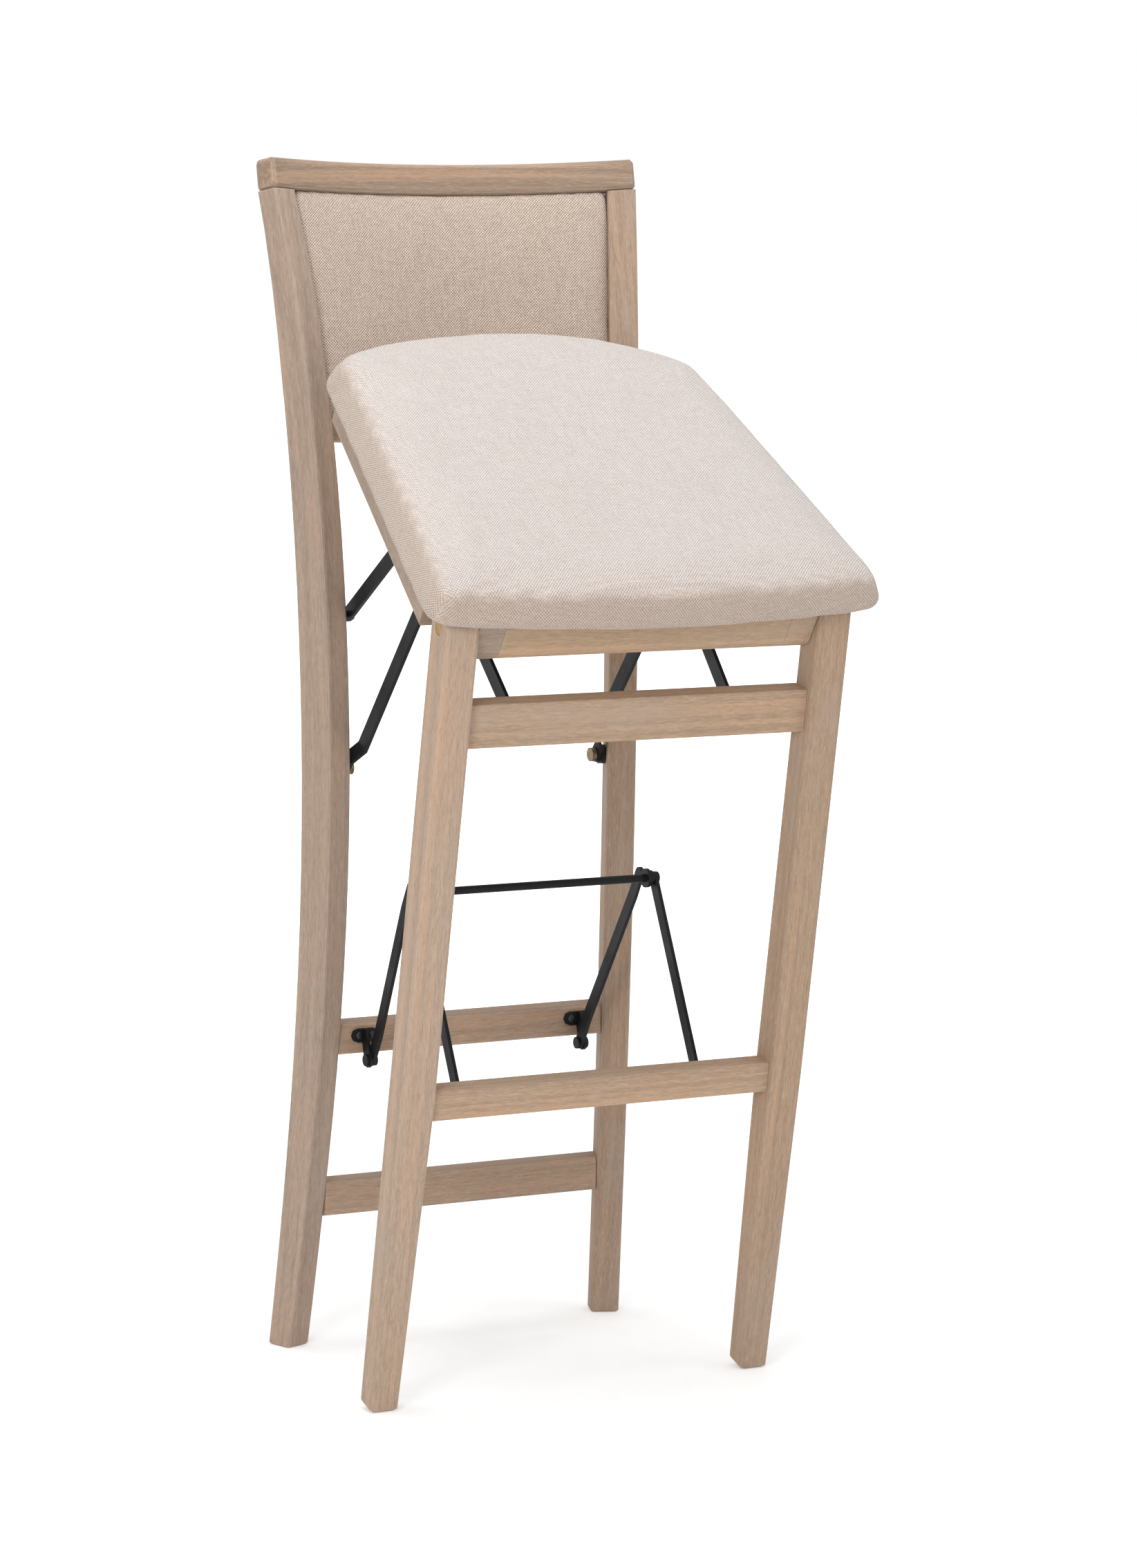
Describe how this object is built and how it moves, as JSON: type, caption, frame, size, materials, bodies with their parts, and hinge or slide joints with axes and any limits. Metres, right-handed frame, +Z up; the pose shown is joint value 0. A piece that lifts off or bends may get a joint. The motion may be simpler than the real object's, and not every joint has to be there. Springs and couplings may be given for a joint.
{
  "type": "folding bar stool",
  "caption": "Folding bar stool with a bent wooden back frame, upholstered seat and back, straight front legs, and black steel braces that fold it flat.",
  "frame": {"origin": "centre of the bounding box at the floor, with the stool partly folded as in the picture", "axes": "+X to the viewer's right as seen from the front, +Y to the back, +Z up"},
  "size_m": [0.4386, 0.4854, 1.0866],
  "materials": {
    "wood": "whitewashed, matte, fine straight grain",
    "plug_wood": "matte end grain",
    "plywood": "raw, matte",
    "linen": "coarse plain weave",
    "black_steel": "satin black with pale scuffs",
    "black_plastic": "matte",
    "brass_bolt": "dull, brushed",
    "bright_steel": "zinc plated"
  },
  "bodies": {
    "rear_frame": {"rear_post_left": "wood", "rear_post_right": "wood", "crest_rail": "wood", "back_panel": "plywood", "back_pad": "linen", "lower_back_rail": "wood", "rear_upper_stretcher": "wood", "rear_lower_stretcher": "wood", "post_bolt_left": "brass_bolt", "post_bolt_right": "brass_bolt", "post_bushing_left": "black_plastic", "post_bushing_right": "black_plastic", "brace_rivet_left": "black_steel", "brace_rivet_right": "black_steel", "spreader_rear_bracket_left": "black_steel", "spreader_rear_bracket_right": "black_steel", "rear_bracket_rivet_left": "black_steel", "rear_bracket_rivet_right": "black_steel"},
    "seat": {"seat_board": "plywood", "seat_cushion": "linen", "seat_front_rail": "wood", "seat_rear_rail": "wood", "seat_side_rail_left": "wood", "seat_side_rail_right": "wood", "seat_pivot_block_left": "wood", "seat_pivot_block_right": "wood", "seat_bracket_left": "black_steel", "seat_bracket_right": "black_steel", "seat_bracket_rivet_left": "black_steel", "seat_bracket_rivet_right": "black_steel"},
    "front_frame": {"front_leg_left": "wood", "front_leg_right": "wood", "front_upper_stretcher": "wood", "footrest": "wood", "leg_plug_left": "plug_wood", "leg_plug_right": "plug_wood", "leg_pivot_bolt_left": "bright_steel", "leg_pivot_bolt_right": "bright_steel", "stretcher_bracket_left": "black_steel", "stretcher_bracket_right": "black_steel", "stretcher_rivet_left": "black_steel", "stretcher_rivet_right": "black_steel", "footrest_bracket_left": "black_steel", "footrest_bracket_right": "black_steel", "footrest_rivet_left": "black_steel", "footrest_rivet_right": "black_steel"},
    "long_braces": {"long_brace_left": "black_steel", "long_brace_right": "black_steel"},
    "short_braces": {"short_brace_left": "black_steel", "short_brace_right": "black_steel"},
    "cross_braces": {"cross_brace_left": "black_steel", "cross_brace_right": "black_steel"},
    "spreader_rear": {"spreader_rear_link_left": "black_steel", "spreader_rear_link_right": "black_steel", "spreader_cross_rod": "black_steel"},
    "spreader_front": {"spreader_front_link_left": "black_steel", "spreader_front_link_right": "black_steel"}
  },
  "joints": [
    {"name": "seat_turn", "type": "hinge", "parent": "long_braces", "child": "seat", "pos_m": [0, -0.05588, 0.77], "axis": [1, 0, 0], "range_deg": [-49, 43]},
    {"name": "long_brace_turn", "type": "hinge", "parent": "rear_frame", "child": "long_braces", "pos_m": [0, 0.13712, 0.5392], "axis": [1, 0, 0], "range_deg": [-14, 15.9]},
    {"name": "front_frame_turn", "type": "hinge", "parent": "seat", "child": "front_frame", "pos_m": [0, -0.18998, 0.7048], "axis": [1, 0, 0], "range_deg": [-22.5, 25.5]},
    {"name": "short_brace_turn", "type": "hinge", "parent": "rear_frame", "child": "short_braces", "pos_m": [0, 0.13282, 0.6797], "axis": [1, 0, 0], "range_deg": [-20.6, 23.4]},
    {"name": "cross_brace_turn", "type": "hinge", "parent": "front_frame", "child": "cross_braces", "pos_m": [0, -0.14677, 0.6245], "axis": [1, 0, 0], "range_deg": [-22.5, 19.8]},
    {"name": "spreader_rear_turn", "type": "hinge", "parent": "rear_frame", "child": "spreader_rear", "pos_m": [0, 0.11862, 0.2716], "axis": [1, 0, 0], "range_deg": [-20.8, 23.7]},
    {"name": "spreader_front_turn", "type": "hinge", "parent": "front_frame", "child": "spreader_front", "pos_m": [0, -0.08897, 0.267], "axis": [1, 0, 0], "range_deg": [-24.1, 21.2]}
  ],
  "couplings": [
    {"joint": "long_brace_turn", "follows": "seat_turn", "ratio": -0.3119},
    {"joint": "front_frame_turn", "follows": "seat_turn", "ratio": -0.5087},
    {"joint": "short_brace_turn", "follows": "seat_turn", "ratio": -0.4657},
    {"joint": "cross_brace_turn", "follows": "seat_turn", "ratio": 0.4476},
    {"joint": "spreader_rear_turn", "follows": "seat_turn", "ratio": -0.4706},
    {"joint": "spreader_front_turn", "follows": "seat_turn", "ratio": 0.4799}
  ]
}
